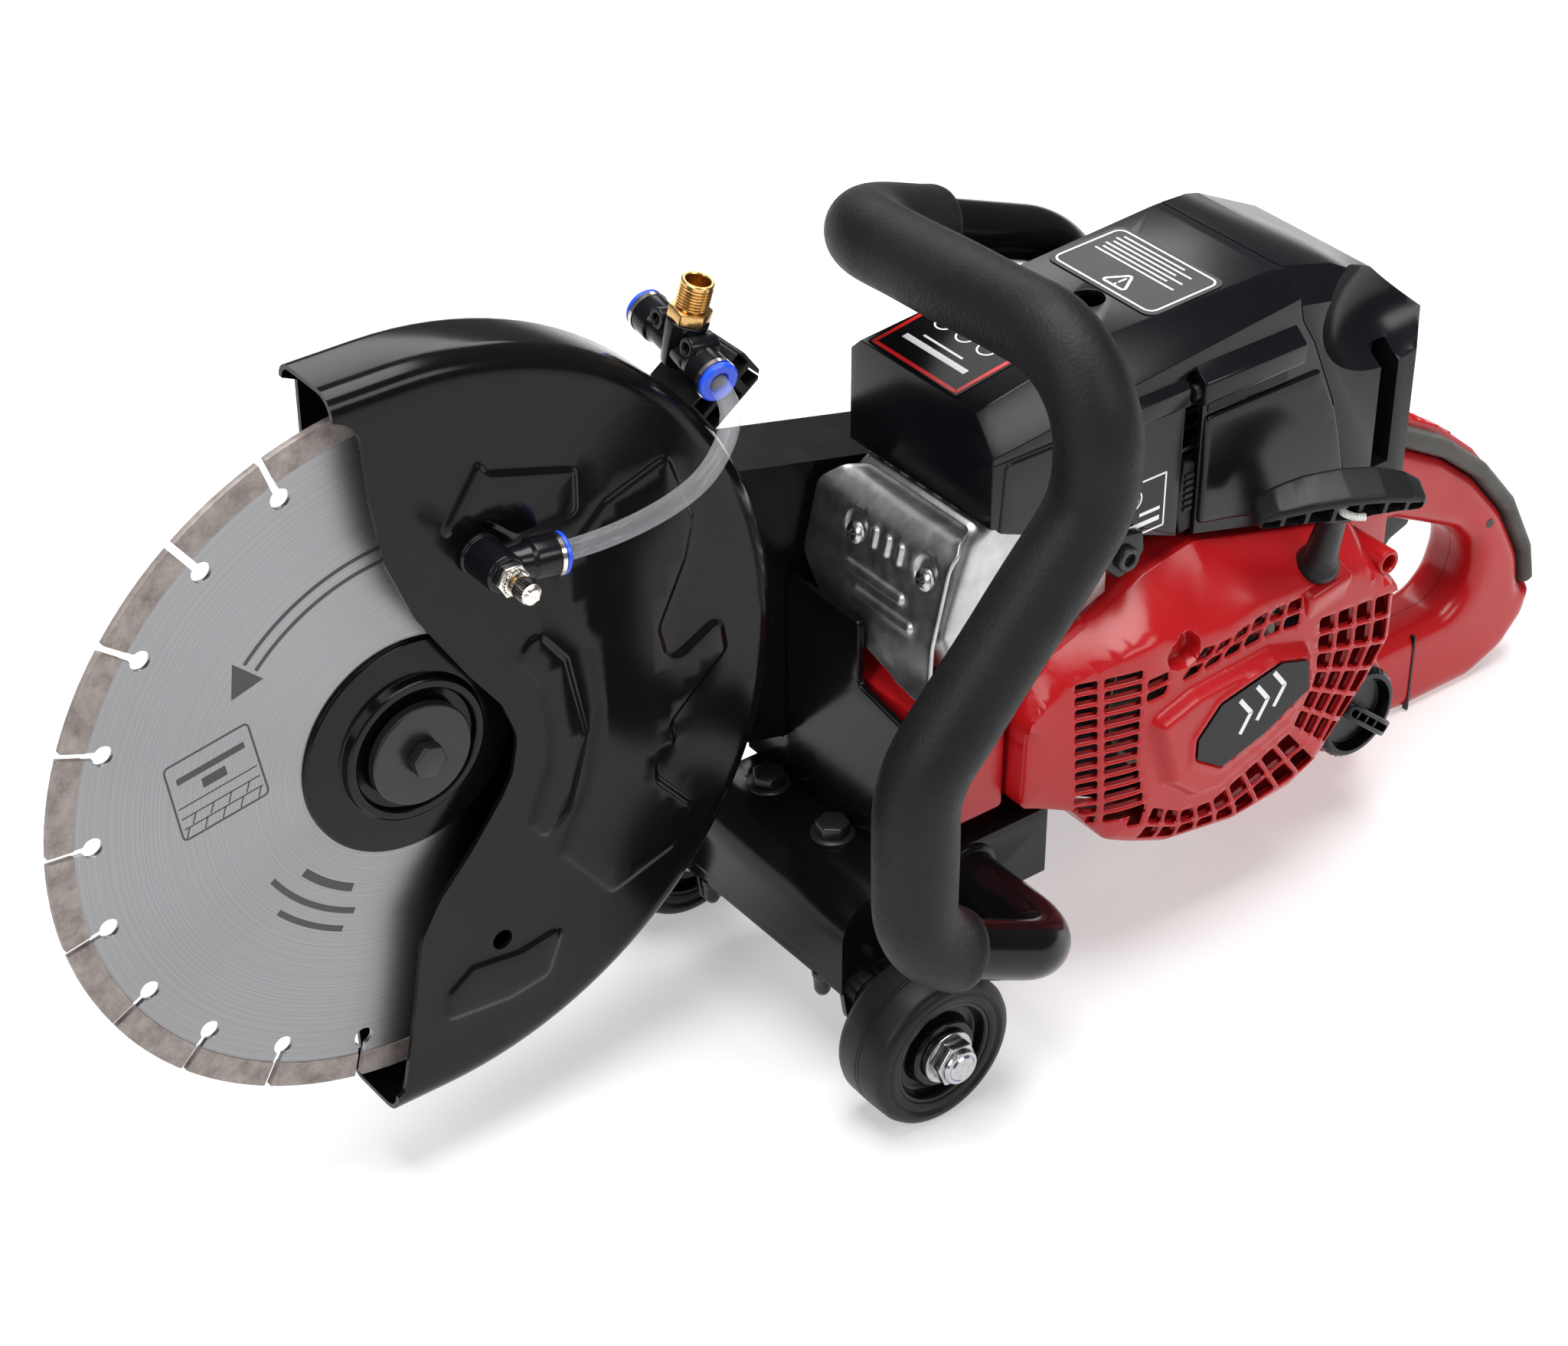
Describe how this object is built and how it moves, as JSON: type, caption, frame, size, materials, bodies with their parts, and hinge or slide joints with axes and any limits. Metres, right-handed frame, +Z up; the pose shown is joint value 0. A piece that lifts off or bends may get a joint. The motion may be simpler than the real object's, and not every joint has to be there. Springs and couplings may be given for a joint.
{
  "type": "petrol cut-off saw on guide wheels",
  "caption": "Hand-held petrol disc cutter with a diamond blade, tilting guard, wet-cut water kit, wrap-around front handle, rear loop handle and a wheeled nose base.",
  "frame": {"origin": "middle of the bounding box's footprint, on the floor plane under the wheels and the rear handle", "axes": "+X forward to the blade, +Y to the operator's left (starter side), +Z up"},
  "size_m": [0.776, 0.2426, 0.373],
  "materials": {
    "black_metal": "gloss black paint",
    "belt_rubber": "ribbed belt",
    "steel": "bright zinc",
    "grip_rubber": "fine grained soft grip",
    "red_plastic": "gloss red",
    "aluminium": "cast",
    "white_ceramic": "plug boot",
    "filter_foam": "oiled foam",
    "muffler_steel": "pressed aluminised steel",
    "label_film": "printed film",
    "rope": "braided cord",
    "black_plastic": "satin moulded black",
    "blade_steel": "ground steel",
    "diamond": "sintered diamond bond",
    "flywheel_cast": "cast",
    "brass": "turned",
    "blue_plastic": "blue collet",
    "clear_hose": "clear polyurethane tube",
    "nickel": "nickel plated",
    "tyre_rubber": "moulded rubber"
  },
  "bodies": {
    "chassis": {"arm_housing": "black_metal", "arm_cover": "black_metal", "drive_belt": "belt_rubber", "main_bearings": "steel", "fasteners": "steel", "base_channel": "black_metal", "base_hardware": "black_metal", "mount_plate": "black_metal", "axle": "steel", "axle_hardware": "steel", "front_handle_tube": "black_metal", "front_handle_grip": "grip_rubber", "handle_brackets": "black_metal", "crankcase": "red_plastic", "cylinder": "aluminium", "spark_plug": "white_ceramic", "air_intake": "filter_foam", "muffler": "muffler_steel", "muffler_shield": "muffler_steel", "starter_cover": "red_plastic", "nameplates": "label_film", "recoil_rope": "rope", "engine_shroud": "black_plastic", "filter_cover": "black_plastic", "fuel_tank": "red_plastic", "handle_left": "red_plastic", "handle_right": "red_plastic", "handle_softgrip": "grip_rubber"},
    "blade": {"blade_core": "blade_steel", "blade_segments": "diamond", "flange_outer": "black_metal", "blade_bolt": "black_metal", "spindle": "steel", "blade_pulley": "aluminium"},
    "clutch": {"clutch_drum": "steel"},
    "crank": {"crankshaft": "steel", "flywheel": "flywheel_cast"},
    "guard": {"guard_shell": "black_metal", "guard_lever": "black_plastic", "water_tee": "black_plastic", "inlet_spigot": "brass", "water_fittings": "blue_plastic", "nozzle_left": "black_plastic", "nozzle_right": "black_plastic", "hose_left": "clear_hose", "hose_right": "clear_hose"},
    "left_needle": {"needle_left": "nickel"},
    "right_needle": {"needle_right": "nickel"},
    "left_wheel": {"tyre_left": "tyre_rubber", "wheel_hub_left": "black_plastic"},
    "right_wheel": {"tyre_right": "tyre_rubber", "wheel_hub_right": "black_plastic"},
    "starter_grip": {"recoil_grip": "black_plastic"},
    "throttle": {"throttle_trigger": "black_plastic"},
    "lockout": {"throttle_lock": "red_plastic"},
    "fuel_cap": {"fuel_cap": "black_plastic"},
    "stop_switch": {"stop_switch": "black_plastic"},
    "choke": {"choke_knob": "black_plastic"},
    "decompression": {"decomp_valve": "black_plastic"}
  },
  "joints": [
    {"name": "blade_spin", "type": "hinge", "parent": "chassis", "child": "blade", "pos_m": [0.238, -0.01631, 0.208], "axis": [0, 1, 0], "continuous": true},
    {"name": "clutch_spin", "type": "hinge", "parent": "chassis", "child": "clutch", "pos_m": [-0.114, -0.06031, 0.125], "axis": [0, 1, 0], "continuous": true},
    {"name": "crank_spin", "type": "hinge", "parent": "chassis", "child": "crank", "pos_m": [-0.114, 0.00369, 0.125], "axis": [0, 1, 0], "continuous": true},
    {"name": "guard_tilt", "type": "hinge", "parent": "chassis", "child": "guard", "pos_m": [0.238, -0.03731, 0.208], "axis": [0, 1, 0], "range_deg": [-12, 45]},
    {"name": "left_needle_turn", "type": "hinge", "parent": "guard", "child": "left_needle", "pos_m": [0.211, 0.01869, 0.289], "axis": [0, 1, 0], "range_deg": [0, 720]},
    {"name": "right_needle_turn", "type": "hinge", "parent": "guard", "child": "right_needle", "pos_m": [0.211, -0.05931, 0.289], "axis": [0, -1, 0], "range_deg": [0, 720]},
    {"name": "left_wheel_spin", "type": "hinge", "parent": "chassis", "child": "left_wheel", "pos_m": [0.06, 0.07769, 0.035], "axis": [0, 1, 0], "continuous": true},
    {"name": "right_wheel_spin", "type": "hinge", "parent": "chassis", "child": "right_wheel", "pos_m": [0.06, -0.09531, 0.035], "axis": [0, 1, 0], "continuous": true},
    {"name": "starter_pull", "type": "slide", "parent": "chassis", "child": "starter_grip", "axis": [0.1595, 0.339, 0.9272], "range_m": [0, 0.6], "stiffness_N_per_m": 40, "springref_m": -0.1},
    {"name": "throttle_squeeze", "type": "hinge", "parent": "chassis", "child": "throttle", "pos_m": [-0.273, -0.01631, 0.124], "axis": [0, 1, 0], "range_deg": [0, 12], "stiffness_Nm_per_rad": 0.4, "springref_deg": -11.46},
    {"name": "lockout_press", "type": "hinge", "parent": "chassis", "child": "lockout", "pos_m": [-0.278, -0.01631, 0.155], "axis": [0, 1, 0], "range_deg": [-5, 0], "stiffness_Nm_per_rad": 0.4, "springref_deg": 11.46},
    {"name": "fuel_cap_turn", "type": "hinge", "parent": "chassis", "child": "fuel_cap", "pos_m": [-0.223, 0.03869, 0.056], "axis": [0, 1, 0], "range_deg": [0, 90]},
    {"name": "stop_switch_turn", "type": "hinge", "parent": "chassis", "child": "stop_switch", "pos_m": [-0.232, -0.04631, 0.146], "axis": [0, -1, 0], "range_deg": [0, 25]},
    {"name": "choke_pull", "type": "slide", "parent": "chassis", "child": "choke", "axis": [0, -1, 0], "range_m": [0, 0.01]},
    {"name": "decompression_press", "type": "slide", "parent": "chassis", "child": "decompression", "axis": [0, 0, -1], "range_m": [0, 0.003], "stiffness_N_per_m": 800, "springref_m": -0.002}
  ],
  "couplings": [
    {"joint": "clutch_spin", "follows": "blade_spin", "ratio": 1.9}
  ]
}
